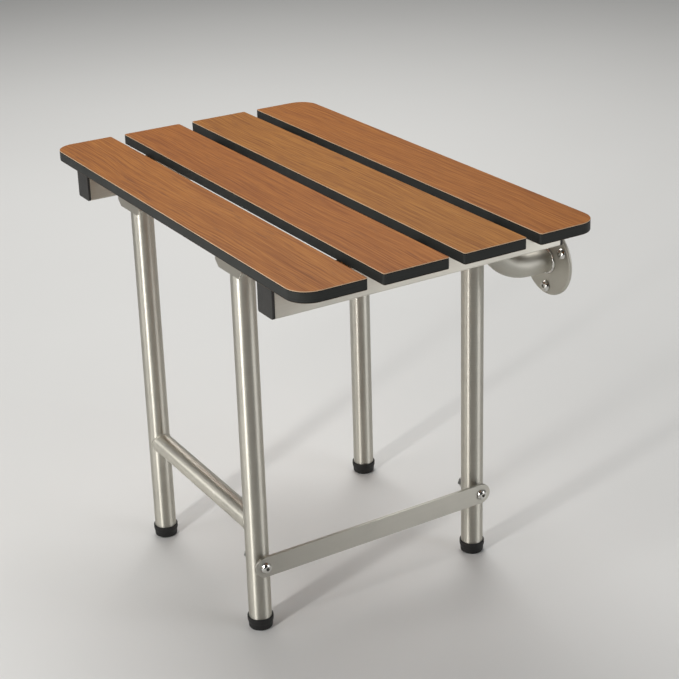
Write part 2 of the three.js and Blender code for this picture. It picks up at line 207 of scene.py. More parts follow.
# %% [markdown]
# ## Satin stainless steel
# The tubes and plates are stainless steel that was polished with a belt: round the tubes, along the
# plates. The belt's hair-fine lines widen every reflection across themselves, so a lamp becomes one thin
# bright line down a tube. An image could not do that from every side. A steel that is rougher across its
# lines than along them can, and noise that is stretched along the lines makes the few that can be seen. A
# broad, faint pattern stands for the film that handling and water leave. Bent, pressed and welded parts
# were never belted, so theirs is even, rougher and a little darker. The link bar is plain cut plate, and
# duller still.

# %% Make the satin steel


WORN, CLEAN, CUT = 0.60, 0.71, 0.78
FILM_SCALE = (11, 11, 11)
LINE_SHARE, FILM_SHARE = 0.6, 0.4
QUARTER_TURN = 0.25


def steel_grey(level):
    return (level, 0.965 * level, 0.86 * level, 1)


def satin_steel(name, axis, stretch, across_axis, roughness, skew=0.9, light=1.0):
    material, tree, shader, coordinates = new_material(name)
    lines = grain(tree, coordinates, stretch, detail=3.0)
    film = grain(tree, coordinates, FILM_SCALE, detail=4.0, distortion=0.4)
    worn = blend_colour(tree, spread(tree, film, 0.0, 1.0), steel_grey(WORN * light),
                        steel_grey(CLEAN * light))
    shade = blend_colour(tree, spread(tree, lines, 0.0, 0.3), worn, steel_grey(CUT * light))
    tree.links.new(shade, shader.inputs["Base Color"])
    shader.inputs["Metallic"].default_value = 1.0
    smooth, rough = roughness
    mixed = maths(tree, "ADD", maths(tree, "MULTIPLY", lines, LINE_SHARE),
                  maths(tree, "MULTIPLY", film, FILM_SHARE))
    tree.links.new(spread(tree, mixed, smooth, rough), shader.inputs["Roughness"])
    tangent = add_node(tree, "ShaderNodeTangent", {"direction_type": "RADIAL", "axis": axis}).outputs[0]
    tree.links.new(tangent, shader.inputs["Tangent"])
    shader.inputs["Anisotropic"].default_value = skew
    shader.inputs["Anisotropic Rotation"].default_value = QUARTER_TURN if across_axis else 0.0
    add_bump(tree, shader, lines, 0.10, 0.03 * MM)
    return material


FINE, SLOW, LONG, EVEN = 900, 25, 3, 70
TUBE, PLATE, UNBELTED = (0.42, 0.50), (0.40, 0.50), (0.48, 0.60)
tube_along_x = satin_steel("satin_tube_along_x", "X", (FINE, SLOW, SLOW), True, TUBE)
tube_along_z = satin_steel("satin_tube_along_z", "Z", (SLOW, SLOW, FINE), True, TUBE)
plate_along_x = satin_steel("satin_plate_along_x", "X", (LONG, FINE, FINE), False, PLATE)
plate_along_y = satin_steel("satin_plate_along_y", "Y", (FINE, LONG, FINE), False, PLATE)
even_satin = satin_steel("even_satin", "Z", (EVEN, EVEN, EVEN), False, UNBELTED, skew=0.0, light=0.80)
dull_plate_along_y = satin_steel("dull_plate_along_y", "Y", (FINE, LONG, FINE), False, PLATE, light=0.72)
print("satin steels: 6")

# %% [markdown]
# ## Polished fasteners
# Bolts, screws and nuts come from the maker bright, so they mirror the room. Only a faint haze is left of
# their forming.

# %% Make the polished steel


def polished_steel():
    material, tree, shader, coordinates = new_material("polished_steel")
    haze = grain(tree, coordinates, (260, 260, 260), detail=3.0)
    shade = blend_colour(tree, haze, (0.62, 0.61, 0.58, 1), (0.78, 0.77, 0.74, 1))
    tree.links.new(shade, shader.inputs["Base Color"])
    shader.inputs["Metallic"].default_value = 1.0
    tree.links.new(spread(tree, haze, 0.08, 0.2), shader.inputs["Roughness"])
    add_bump(tree, shader, haze, 0.05, 0.02 * MM)
    return material


bright_steel = polished_steel()
print("polished:", bright_steel.name)

# %% [markdown]
# ## Black plastic and black rubber
# The rail caps are moulded in a matte plastic with a very fine spark-eroded skin. The feet are softer,
# duller rubber that has picked up a little dust. Both are a dark colour with noise in the roughness and
# the height.

# %% Make the plastic and the rubber


def moulded(name, dark, light, roughness, skin, depth):
    material, tree, shader, coordinates = new_material(name)
    specks = grain(tree, coordinates, (skin, skin, skin), detail=2.0)
    patches = grain(tree, coordinates, (45, 45, 45), detail=4.0)
    tree.links.new(blend_colour(tree, spread(tree, patches, 0, 1), dark, light), shader.inputs["Base Color"])
    tree.links.new(spread(tree, specks, *roughness), shader.inputs["Roughness"])
    add_bump(tree, shader, specks, 0.25, depth)
    return material


cap_plastic = moulded("black_plastic", (0.014, 0.013, 0.012, 1), (0.026, 0.025, 0.023, 1),
                      roughness=(0.42, 0.56), skin=2200, depth=0.03 * MM)
foot_rubber = moulded("black_rubber", (0.005, 0.005, 0.005, 1), (0.013, 0.012, 0.011, 1),
                      roughness=(0.55, 0.75), skin=1500, depth=0.05 * MM)
print("moulded:", cap_plastic.name, foot_rubber.name)

# %% [markdown]
# ## Teak-pattern laminate
# A slat is a solid board of pressed paper and resin: a black core between two thin printed sheets with a
# teak pattern. The print is three layers of noise, each stretched along the slat: broad bands where the
# figure is darker, fine streaks, and short dark pores. A slow noise bends all three, so that no line is
# ruler straight. The layers across the edge are told apart by height: printed sheet, a pale band along its
# arris that is a painted highlight, a black resin line, and the grey-black core.

# %% Make the laminate
SWAY, SWAY_SCALE = 0.020, (4.5, 9, 1)
BANDS, STREAKS, PORES = (1.3, 32, 1), (9, 520, 1), (24, 850, 1)
BAND_SHARE, STREAK_SHARE = 0.22, 0.78
TEAK = [(0.34, (0.235, 0.071, 0.010)), (0.46, (0.350, 0.118, 0.018)),
        (0.54, (0.415, 0.149, 0.024)), (0.66, (0.480, 0.190, 0.034))]
REDDER, YELLOWER, PORE = (0.94, 0.82, 0.80, 1), (0.98, 1.12, 1.20, 1), (0.16, 0.052, 0.017, 1)
# Heights run from 0 at a board's underside to 1 at its top.
ARRIS_HIGHLIGHT_HEIGHT, FACE_FROM_MIDDLE = 0.945, 0.4920
# The pale colour at the top of the edge is a painted highlight along the arris, not a layer of the board.
PLIES = [(0.0, (0.16, 0.11, 0.07)), (0.05, (0.012, 0.011, 0.010)), (0.10, (0.043, 0.045, 0.043)),
         (0.88, (0.006, 0.006, 0.005)), (ARRIS_HIGHLIGHT_HEIGHT, (0.72, 0.52, 0.35))]
PLY_DARK = (0.016, 0.016, 0.015, 1)


def teak_print(tree, coordinates, tone):
    shift = add_node(tree, "ShaderNodeCombineXYZ", X=maths(tree, "MULTIPLY", tone, 7.3),
                     Y=maths(tree, "MULTIPLY", tone, 3.1), Z=maths(tree, "MULTIPLY", tone, 11.0)).outputs[0]
    own = add_node(tree, "ShaderNodeVectorMath", {"operation": "ADD"})
    plug(tree, own.inputs[0], coordinates)
    plug(tree, own.inputs[1], shift)
    sway = grain(tree, own.outputs[0], SWAY_SCALE, detail=2.0)
    sideways = maths(tree, "MULTIPLY", maths(tree, "SUBTRACT", sway, 0.5), SWAY)
    bend = add_node(tree, "ShaderNodeCombineXYZ", Y=sideways).outputs[0]
    bent = add_node(tree, "ShaderNodeVectorMath", {"operation": "ADD"})
    plug(tree, bent.inputs[0], own.outputs[0])
    plug(tree, bent.inputs[1], bend)
    bands = grain(tree, bent.outputs[0], BANDS, detail=3.0)
    streaks = grain(tree, bent.outputs[0], STREAKS, detail=4.0, roughness=0.6)
    pores = grain(tree, bent.outputs[0], PORES, detail=2.0)
    return bands, streaks, pores


def teak_colour(tree, bands, streaks, pores, tone):
    figure = maths(tree, "ADD", maths(tree, "MULTIPLY", bands, BAND_SHARE),
                   maths(tree, "MULTIPLY", streaks, STREAK_SHARE))
    wood = colour_steps(tree, figure, TEAK)
    tint = blend_colour(tree, tone, REDDER, YELLOWER)
    toned = blend_colour(tree, 1.0, wood, tint, "MULTIPLY")
    holes = spread(tree, pores, 0.62, 0.0, 0.32, 0.45)
    return blend_colour(tree, holes, toned, PORE)


def laminate():
    material, tree, shader, coordinates = new_material("teak_laminate")
    tone = add_node(tree, "ShaderNodeAttribute", {"attribute_name": "slat_tone"}).outputs["Fac"]
    bands, streaks, pores = teak_print(tree, coordinates, tone)
    print_colour = teak_colour(tree, bands, streaks, pores, tone)
    height = add_node(tree, "ShaderNodeSeparateXYZ", Vector=coordinates).outputs["Z"]
    level = spread(tree, height, 0.0, 1.0, slat_box.low.z, slat_box.high.z)
    plies = grain(tree, coordinates, (14, 14, 1800), detail=2.0)
    core = colour_steps(tree, level, PLIES, "CONSTANT")
    layered = blend_colour(tree, spread(tree, plies, 0.0, 0.35), core, PLY_DARK)
    from_middle = maths(tree, "ABSOLUTE", maths(tree, "SUBTRACT", level, 0.5))
    faced = maths(tree, "GREATER_THAN", from_middle, FACE_FROM_MIDDLE)
    # Above that height the edge takes the plain pale colour of the painted highlight, with no ply streaks.
    pale = maths(tree, "GREATER_THAN", level, ARRIS_HIGHLIGHT_HEIGHT)
    edge = blend_colour(tree, pale, layered, core)
    tree.links.new(blend_colour(tree, faced, edge, print_colour), shader.inputs["Base Color"])
    gloss = spread(tree, streaks, 0.50, 0.38)
    tree.links.new(gloss, shader.inputs["Roughness"])
    shader.inputs["Specular IOR Level"].default_value = 0.10
    pits = maths(tree, "MULTIPLY", spread(tree, pores, 1, 0, 0.3, 0.42), 0.5)
    relief = maths(tree, "SUBTRACT", streaks, pits)
    add_bump(tree, shader, relief, 0.18, 0.06 * MM)
    return material


slat_laminate = laminate()
print("laminate over", round(slat_box.size.z / MM, 1), "mm of core")

# %% [markdown]
# ## Turned shapes
# Tubes, feet, bolts and flanges are all round, so one function turns a profile of (radius, height) points
# about an axis. A point may carry a number of corners as well, which makes its ring a polygon: that is
# how a hexagon socket or a nut joins a round dome. Cylinders from the menu would leave sharp, unreal
# edges, and a profile can have every one of its corners rounded first.

# %% Round a profile's corners and turn it

TO_AXIS = {
    "Z": Matrix.Identity(4),
    "X": Matrix.Rotation(math.pi / 2, 4, "Y"),
    "-X": Matrix.Rotation(-math.pi / 2, 4, "Y"),
    "-Y": Matrix.Rotation(math.pi / 2, 4, "X"),
}


# An arc takes up no more than this share of either line beside it.
ARC_SHARE = 0.48
ON_AXIS = 1e-6


def rounded(points, radius, steps=4):
    """The same line of points, with an arc of about that radius in place of each inner corner."""
    made = [points[0]]
    for before, corner, after in zip(points, points[1:], points[2:]):
        middle = Vector(corner)
        back, on = Vector(before) - middle, Vector(after) - middle
        reach = min(radius, back.length * ARC_SHARE, on.length * ARC_SHARE)
        start, end = middle + back.normalized() * reach, middle + on.normalized() * reach
        for step in range(steps + 1):
            t = step / steps
            made.append(tuple(start * (1 - t) ** 2 + middle * (2 * t * (1 - t)) + end * t ** 2))
    return made + [points[-1]]


def ring_radius(radius, corners, angle):
    if corners == 0:
        return radius
    share = math.pi / corners
    return radius * math.cos(share) / math.cos((angle % (2 * share)) - share)


def turned(profile, sides=48, axis="Z", place=(0, 0, 0), closed=False):
    """A bmesh of the profile turned about the axis. Points are (radius, height), or also have corners."""
    shape = bmesh.new()
    rings = []
    for radius, height, *rest in profile:
        corners = rest[0] if rest else 0
        angles = [0.0] if radius < ON_AXIS else [2 * math.pi * i / sides for i in range(sides)]
        ring = [(ring_radius(radius, corners, a), a) for a in angles]
        rings.append([shape.verts.new((r * math.cos(a), r * math.sin(a), height)) for r, a in ring])
    for low, high in zip(rings, rings[1:] + (rings[:1] if closed else [])):
        for i in range(sides):
            j = (i + 1) % sides
            quad = [low[i % len(low)], low[j % len(low)], high[j % len(high)], high[i % len(high)]]
            shape.faces.new(list(dict.fromkeys(quad)))
    shape.transform(Matrix.Translation(Vector(place)) @ TO_AXIS[axis])
    return shape


def solid_rod(radius, low, high, edge):
    return rounded([(0, low), (radius, low), (radius, high), (0, high)], edge)


print("a rounded rod has", len(solid_rod(6 * MM, 0, 50 * MM, 1 * MM)), "profile points")

# %% [markdown]
# ## Finishing a piece
# A finished piece is an object at the origin whose place is in its mesh. It rides on a body, and the
# engineering nodes it stands for are hidden. Flat faces and curves share one mesh, so faces that meet at
# less than a set angle are shaded smooth, and a weighted normal keeps the big flats flat.

# %% Turn a bmesh into a finished piece
pieces_made = []
MERGE_DISTANCE, FLAT_ANGLE = 0.00001, math.radians(0.5)


def mesh_of(shape, name):
    mesh = bpy.data.meshes.new(name)
    shape.to_mesh(mesh)
    shape.free()
    return mesh


def finished(name, mesh, material, body, nodes=(), smooth_angle=40):
    mesh.materials.clear()
    mesh.materials.append(material)
    mesh.shade_smooth()
    mesh.set_sharp_from_angle(angle=math.radians(smooth_angle))
    made = bpy.data.objects.new(name, mesh)
    scene.collection.objects.link(made)
    weighted = made.modifiers.new("flat_faces", "WEIGHTED_NORMAL")
    weighted.keep_sharp = True
    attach(made, body)
    if nodes:
        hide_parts(*nodes)
    pieces_made.append(name)
    return made


def finished_turning(name, profile, material, body, slot, nodes=(), **turning):
    return finished(name, mesh_of(turned(profile, **turning), name), material, body, nodes)


# %% [markdown]
# ## Easing the edges of flat parts
# Brackets, caps, rails and the link bar are already the right shape, but every real edge is eased. A copy
# of the engineering mesh has its loose triangles merged, its flat faces dissolved into whole ones, and
# its sharp edges bevelled by a few tenths of a millimetre, which is what catches the light.

# %% Copy an engineering node and bevel it


def ease_edges(shape, ease, steps=2, sharp=35):
    crisp = [e for e in shape.edges if len(e.link_faces) == 2 and e.calc_face_angle() > math.radians(sharp)]
    bmesh.ops.bevel(shape, geom=crisp, offset=ease, segments=steps, profile=0.5, affect="EDGES",
                    clamp_overlap=True)


def eased(node, material, body, ease, steps=2):
    shape = bmesh.new()
    shape.from_mesh(frame["nodes"][node].data)
    bmesh.ops.remove_doubles(shape, verts=shape.verts, dist=MERGE_DISTANCE)
    bmesh.ops.dissolve_limit(shape, angle_limit=FLAT_ANGLE, verts=shape.verts, edges=shape.edges)
    ease_edges(shape, ease, steps)
    return finished(node, mesh_of(shape, node), material, body, [node])


# %% [markdown]
# ## The slats, by Geometry Nodes
# The seat's main surface follows a rule: one board, repeated at a fixed pitch, whose corners are large
# only at the seat's own corners. A Geometry Nodes tree states that rule once. It places rectangles along
# a line, rounds each corner by how far it lies from the middle of the seat, fills and raises them, and
# gives each board a random tone of its own for the print.

# %% Helpers for geometry trees


def new_tree(name, inputs):
    tree = bpy.data.node_groups.new(name, "GeometryNodeTree")
    tree.interface.new_socket("Geometry", in_out="INPUT", socket_type="NodeSocketGeometry")
    for label, kind in inputs:
        tree.interface.new_socket(label, in_out="INPUT", socket_type=f"NodeSocket{kind}")
    tree.interface.new_socket("Geometry", in_out="OUTPUT", socket_type="NodeSocketGeometry")
    return tree, tree.nodes.new("NodeGroupInput").outputs


def close_tree(tree, geometry, material):
    real = add_node(tree, "GeometryNodeRealizeInstances", Geometry=geometry).outputs[0]
    painted = add_node(tree, "GeometryNodeSetMaterial", Geometry=real, Material=material).outputs[0]
    tree.links.new(painted, tree.nodes.new("NodeGroupOutput").inputs[0])


def grown(name, tree, values, seed_mesh=None):
    """The plain mesh that the tree makes with these named values."""
    host = bpy.data.objects.new(name, seed_mesh or bpy.data.meshes.new(name))
    scene.collection.objects.link(host)
    modifier = host.modifiers.new("rule", "NODES")
    modifier.node_group = tree
    sockets = {s.name: s.identifier for s in tree.interface.items_tree if s.in_out == "INPUT"}
    for label, value in values.items():
        modifier[sockets[label]] = value
    bpy.context.view_layer.update()
    mesh = bpy.data.meshes.new_from_object(host.evaluated_get(bpy.context.evaluated_depsgraph_get()))
    host.modifiers.clear()
    bpy.data.objects.remove(host)
    return mesh


# %% State the rule of the slats
slat_tree, given = new_tree("slat_rule", [
    ("Count", "Int"), ("Length", "Float"), ("Depth", "Float"), ("Pitch", "Float"), ("Thickness", "Float"),
    ("Middle", "Float"), ("Underside", "Float"), ("Outer corner", "Float"), ("Inner corner", "Float"),
    ("Seed", "Int"), ("Material", "Material")])
reach = maths(slat_tree, "MULTIPLY", maths(slat_tree, "SUBTRACT", given["Count"], 1.0), given["Pitch"])
first = maths(slat_tree, "MULTIPLY", reach, -0.5)
start = add_node(slat_tree, "ShaderNodeCombineXYZ", Y=first).outputs[0]
step = add_node(slat_tree, "ShaderNodeCombineXYZ", Y=given["Pitch"]).outputs[0]
row = add_node(slat_tree, "GeometryNodeMeshLine", Count=given["Count"], Start_Location=start, Offset=step)
board = add_node(slat_tree, "GeometryNodeCurvePrimitiveQuadrilateral", Width=given["Length"],
                 Height=given["Depth"])
boards = add_node(slat_tree, "GeometryNodeInstanceOnPoints", Points=row.outputs[0], Instance=board.outputs[0])
outlines = add_node(slat_tree, "GeometryNodeRealizeInstances", Geometry=boards.outputs[0]).outputs[0]
across = add_node(slat_tree, "ShaderNodeSeparateXYZ",
                  Vector=add_node(slat_tree, "GeometryNodeInputPosition").outputs[0]).outputs["Y"]
seat_edge = maths(slat_tree, "SUBTRACT", maths(slat_tree, "SUBTRACT", 0.0, first), 1 * MM)
is_outer = maths(slat_tree, "GREATER_THAN", maths(slat_tree, "ABSOLUTE", across), seat_edge)
corner = add_node(slat_tree, "GeometryNodeSwitch", {"input_type": "FLOAT"}, Switch=is_outer,
                  **{"False": given["Inner corner"], "True": given["Outer corner"]}).outputs[0]
soft = add_node(slat_tree, "GeometryNodeFilletCurve", {"mode": "POLY"}, Curve=outlines, Radius=corner,
                Count=10)
flat = add_node(slat_tree, "GeometryNodeFillCurve", {"mode": "NGONS"}, Curve=soft.outputs[0]).outputs[0]
raised = add_node(slat_tree, "GeometryNodeExtrudeMesh", Mesh=flat, Offset_Scale=given["Thickness"],
                  Individual=False).outputs[0]
under = add_node(slat_tree, "GeometryNodeFlipFaces", Mesh=flat).outputs[0]
shell = slat_tree.nodes.new("GeometryNodeJoinGeometry")
slat_tree.links.new(raised, shell.inputs[0])
slat_tree.links.new(under, shell.inputs[0])
whole = add_node(slat_tree, "GeometryNodeMergeByDistance", Geometry=shell.outputs[0],
                 Distance=0.01 * MM).outputs[0]
board_number = add_node(slat_tree, "GeometryNodeInputMeshIsland").outputs["Island Index"]
tone = add_node(slat_tree, "FunctionNodeRandomValue", ID=board_number, Seed=given["Seed"])
toned = add_node(slat_tree, "GeometryNodeStoreNamedAttribute", Geometry=whole, Name="slat_tone",
                 Value=next(s for s in tone.outputs if s.enabled))
seat_place = add_node(slat_tree, "ShaderNodeCombineXYZ", Y=given["Middle"], Z=given["Underside"]).outputs[0]
lifted = add_node(slat_tree, "GeometryNodeTransform", Geometry=toned.outputs[0], Translation=seat_place)
close_tree(slat_tree, lifted.outputs[0], given["Material"])
print("slat rule nodes:", len(slat_tree.nodes))

# %% Grow the four slats and ease their arrises
SLATS = [f"seat_slat_{number}" for number in (1, 2, 3, 4)]
OUTER_CORNER, INNER_CORNER, SLAT_EASE = 25 * MM, 3 * MM, 0.7 * MM
TONE_SEED = 60
slat_pitch = measure("seat_slat_2").centre.y - slat_box.centre.y
slat_mesh = grown("seat_slats", slat_tree, {
    "Count": len(SLATS), "Length": slat_box.size.x, "Depth": slat_box.size.y, "Pitch": slat_pitch,
    "Thickness": slat_box.size.z, "Middle": (slat_box.low.y + measure(SLATS[-1]).high.y) / 2,
    "Underside": slat_box.low.z, "Outer corner": OUTER_CORNER, "Inner corner": INNER_CORNER,
    "Seed": TONE_SEED, "Material": slat_laminate})
slat_shape = bmesh.new()
slat_shape.from_mesh(slat_mesh)
ease_edges(slat_shape, SLAT_EASE, steps=3, sharp=60)
slats = finished("seat_slats", mesh_of(slat_shape, "seat_slats"), slat_laminate, "seat",
                 SLATS)
tones = dict.fromkeys(round(tone.value, 2) for tone in slats.data.attributes["slat_tone"].data)
print("slats at a pitch of", round(slat_pitch / MM, 1), "mm, tones", list(tones))

# %% [markdown]
# ## Rails, caps, brackets and the link bar
# These are cut from plate and rectangular tube. Nothing about their shape needs making again, so each is
# the engineering node with eased edges. The belt lines run along each piece, so the rails take the steel
# whose lines run along Y, the link bar takes its duller version, and brackets and lugs take the one along
# X.

# %% Ease the flat parts
RAIL_EASE, BRACKET_EASE, LUG_EASE = 0.3 * MM, 0.4 * MM, 0.5 * MM
CAP_EASE, BAR_EASE, NUT_EASE = 0.5 * MM, 0.6 * MM, 0.5 * MM
for side in SIDES:
    eased(f"side_rail_{side}", plate_along_y, "seat", RAIL_EASE)
    eased(f"leg_bracket_{side}", plate_along_x, "seat", BRACKET_EASE)
    eased(f"hinge_lug_{side}", plate_along_x, "wall_mount", LUG_EASE)
    for end in ("front", "rear"):
        eased(f"rail_cap_{end}_{side}", cap_plastic, "seat", CAP_EASE, steps=3)
eased("link_bar", dull_plate_along_y, "link", BAR_EASE, steps=3)
eased("hinge_rod_nut", bright_steel, "wall_mount", NUT_EASE)
print("pieces so far:", len(pieces_made))

# %% [markdown]
# ## Legs and feet
# Each leg is a round tube that ends in a dome about its own pivot, so that it can swing under the slat.
# Its foot is a rubber cup with a rolled rim and a rounded sole. Both are turned from profiles whose sizes
# are the node's.

# %% Turn the legs and feet
FOOT_WAIST, FOOT_SOLE, FOOT_EDGE, RIM_DEPTH = 0.9 * MM, 0.4 * MM, 2.2 * MM, 4 * MM
FOOT_PLAY = 0.1 * MM


def pivot_of(joint):
    return Vector(next(j["pos_m"] for j in frame["joints"] if j["name"] == joint))


def leg_profile(radius, bottom, pivot, steps=10):
    dome = [math.pi / 2 * step / steps for step in range(steps)]
    top = [(radius * math.cos(a), pivot + radius * math.sin(a)) for a in dome]
    return [(0, bottom), (radius, bottom)] + top + [(0, pivot + radius)]


def foot_profile(radius, height, neck):
    waist = radius - FOOT_WAIST
    outside = [(0, 0), (waist - FOOT_SOLE, 0), (waist, 0.45 * height), (radius, 0.62 * height),
               (radius, height)]
    inside = [(neck, height), (neck, height - RIM_DEPTH), (0, height - RIM_DEPTH)]
    return rounded(outside + inside, FOOT_EDGE, steps=5)


def make_leg(pair, side, pivot):
    leg, foot = f"leg_{pair}_{side}", f"foot_{pair}_{side}"
    tube, cup = measure(leg), measure(foot)
    axis = (tube.centre.x, tube.centre.y, 0)
    profile = leg_profile(tube.size.x / 2, tube.low.z, pivot.z)
    body = f"{pair}_legs"
    finished_turning(leg, profile, tube_along_z, body, "stainless_steel", [leg], sides=72, place=axis)
    profile = foot_profile(cup.size.x / 2, cup.size.z, tube.size.x / 2 + FOOT_PLAY)
    finished_turning(foot, profile, foot_rubber, body, "black_rubber", [foot], sides=64, place=axis)


for side in SIDES:
    make_leg("front", side, pivot_of("leg_fold"))
    make_leg("rear", side, pivot_of("rear_leg_fold"))
print("leg tube:", round(leg_box.size.x / MM, 1), "mm across,", round(leg_box.size.z / MM), "mm long")

# %% [markdown]
# ## The cross tube, the axle tube and the hinge rod
# Three more round bars run along X. The cross tube is coped on to the front legs, so the visible one is
# run a little further, into the tubes, and the weld hides the seam.

# %% Turn the bars that run along X
COPE_DEPTH, AXLE_WALL = 4.4 * MM, 3 * MM
ROD_RADIUS, ROD_HEAD_HEIGHT = 6 * MM, 5 * MM


def bar_along_x(name, body, material, profile, closed=False):
    box = measure(name)
    place = (0, box.centre.y, box.centre.z)
    return finished_turning(name, profile(box), material, body, "stainless_steel", [name],
                            sides=56, axis="X", place=place, closed=closed)


def cross_tube_profile(box):
    reach = leg_box.centre.x - COPE_DEPTH
    return solid_rod(box.size.z / 2, -reach, reach, 0.2 * MM)


def axle_profile(box):
    outer = box.size.z / 2
    inner = outer - AXLE_WALL
    return [(inner, box.low.x), (outer, box.low.x), (outer, box.high.x), (inner, box.high.x)]


def hinge_rod_profile(box):
    head, shoulder = box.size.z / 2, box.high.x - ROD_HEAD_HEIGHT
    points = [(0, box.low.x), (ROD_RADIUS, box.low.x), (ROD_RADIUS, shoulder), (head, shoulder),
              (head, box.high.x), (0, box.high.x)]
    return rounded(points, 1.6 * MM)


bar_along_x("front_cross_tube", "front_legs", tube_along_x, cross_tube_profile)
bar_along_x("hinge_rod", "wall_mount", bright_steel, hinge_rod_profile)
bar_along_x("rear_axle_tube", "rear_legs", tube_along_x, axle_profile, closed=True)
print("bars along X: 3")

# %% [markdown]
# ## Bent arms and weld beads, by Geometry Nodes
# An arm leaves its flange square, then bends up to the hinge. A weld bead runs round each joint. Both are
# a round section that follows a path, so one tree makes them: edges become a curve, and a circle is swept
# along it. The bead's small ripple is a wave in the scale of the circle.

# %% State the rule of a swept section
RIPPLE_STEP = 2.1
sweep_tree, given = new_tree("sweep_rule", [("Radius", "Float"), ("Sides", "Int"), ("Ripple", "Float"),
                                            ("Material", "Material")])
line = add_node(sweep_tree, "GeometryNodeMeshToCurve", Mesh=given["Geometry"]).outputs[0]
circle = add_node(sweep_tree, "GeometryNodeCurvePrimitiveCircle", Resolution=given["Sides"],
                  Radius=given["Radius"])
number = add_node(sweep_tree, "GeometryNodeInputIndex").outputs[0]
wave = maths(sweep_tree, "SINE", maths(sweep_tree, "MULTIPLY", number, RIPPLE_STEP))
scale = maths(sweep_tree, "ADD", maths(sweep_tree, "MULTIPLY", wave, given["Ripple"]), 1.0)
swept = add_node(sweep_tree, "GeometryNodeCurveToMesh", Curve=line, Profile_Curve=circle.outputs[0],
                 Scale=scale, Fill_Caps=True)
close_tree(sweep_tree, swept.outputs[0], given["Material"])


def wire(points, closed):
    mesh = bpy.data.meshes.new("path")
    edges = [(i, i + 1) for i in range(len(points) - 1)]
    mesh.from_pydata(points, edges + ([(len(points) - 1, 0)] if closed else []), [])
    return mesh


def swept_piece(name, points, radius, sides, material, body, nodes=(), closed=False, ripple=0.0, ease=0.0):
    values = {"Radius": radius, "Sides": sides, "Ripple": ripple, "Material": material}
    shape = bmesh.new()
    shape.from_mesh(grown(name, sweep_tree, values, wire(points, closed)))
    bmesh.ops.remove_doubles(shape, verts=shape.verts, dist=MERGE_DISTANCE)
    bmesh.ops.recalc_face_normals(shape, faces=shape.faces)
    if ease:
        ease_edges(shape, ease, steps=3, sharp=60)
    return finished(name, mesh_of(shape, name), material, body, nodes)


print("sweep rule nodes:", len(sweep_tree.nodes))

# %% Sweep the wall arms
ARM_RADIUS, ARM_STRAIGHT, ARM_BEND, ARM_TIP = 13 * MM, 27 * MM, 57 * MM, 6 * MM
ARM_ANGLE, ARM_EASE = math.radians(50), 1.0 * MM


def arm_path(start, steps=24):
    points = [start, start - Vector((0, ARM_STRAIGHT / 2, 0))]
    bend = start - Vector((0, ARM_STRAIGHT, 0))
    for step in range(steps + 1):
        angle = ARM_ANGLE * step / steps
        points.append(bend + ARM_BEND * Vector((0, -math.sin(angle), 1 - math.cos(angle))))
    return points + [points[-1] + ARM_TIP * Vector((0, -math.cos(ARM_ANGLE), math.sin(ARM_ANGLE)))]


for side in SIDES:
    arm, flange = f"wall_arm_{side}", measure(f"wall_flange_{side}")
    root = Vector((flange.centre.x, measure(arm).high.y, flange.centre.z))
    swept_piece(arm, arm_path(root), ARM_RADIUS, 56, even_satin, "wall_mount", [arm], ease=ARM_EASE)
print("arm bend:", round(math.degrees(ARM_ANGLE)), "degrees round", round(ARM_BEND / MM), "mm")

# %% Sweep the weld beads
TUBE_BEAD, FLANGE_BEAD = 0.9 * MM, 2.0 * MM
BEAD_OFF_FLANGE, BEAD_OFF_ARM = 0.6 * MM, 0.8 * MM


def round_bead(centre, radius, steps=60):
    angles = [2 * math.pi * i / steps for i in range(steps)]
    return [centre + radius * Vector((math.cos(a), 0, math.sin(a))) for a in angles]


def saddle_bead(leg, tube, inwards, steps=60):
    points = []
    for i in range(steps):
        angle = 2 * math.pi * i / steps
        across, up = tube.size.z / 2 * math.cos(angle), tube.size.z / 2 * math.sin(angle)
        out = math.sqrt(max((leg.size.x / 2) ** 2 - across ** 2, 0))
        points.append(Vector((leg.centre.x + inwards * out, tube.centre.y + across, tube.centre.z + up)))
    return points


cross_tube = measure("front_cross_tube")
for side, inwards in zip(SIDES, (1, -1)):
    leg, flange = measure(f"leg_front_{side}"), measure(f"wall_flange_{side}")
    swept_piece(f"cross_tube_weld_{side}", saddle_bead(leg, cross_tube, inwards), TUBE_BEAD, 10, even_satin,
                "front_legs", closed=True, ripple=0.16)
    root = Vector((flange.centre.x, flange.low.y - BEAD_OFF_FLANGE, flange.centre.z))
    swept_piece(f"flange_weld_{side}", round_bead(root, ARM_RADIUS + BEAD_OFF_ARM), FLANGE_BEAD, 12,
                bright_steel, "wall_mount", closed=True, ripple=0.07)
print("weld beads: 4")

# %% [markdown]
# ## Wall flanges
# A flange is a pressed disc with a rolled edge, spun on a lathe after pressing. It is turned about the
# arm's axis.

# %% Turn the flanges
FLANGE_ROLL, FLANGE_RIM, FLANGE_FACE = 1.6 * MM, 3.4 * MM, 0.90


def flange_profile(box):
    radius, thickness = box.size.x / 2, box.size.y
    points = [(0, 0), (radius, 0), (radius, 0.72 * thickness), (radius - FLANGE_ROLL, thickness),
              (radius - FLANGE_RIM, FLANGE_FACE * thickness), (0, FLANGE_FACE * thickness)]
    return rounded(points, 1.0 * MM, steps=5)


for side in SIDES:
    name = f"wall_flange_{side}"
    box = measure(name)
    finished_turning(name, flange_profile(box), even_satin, "wall_mount", "stainless_steel", [name],
                     sides=120, axis="-Y", place=(box.centre.x, box.high.y, box.centre.z))
print("flange:", round(box.size.x / MM), "mm across")

# %% [markdown]
# ## Screws, bolts and nuts, by Geometry Nodes
# Every fastener is drawn once, standing up with the top of its head at the origin. A tree then puts a
# copy at each place, turned to its hole and spun by a random amount, because no one lines up hexagon
# sockets by hand.

# %% Draw the fasteners


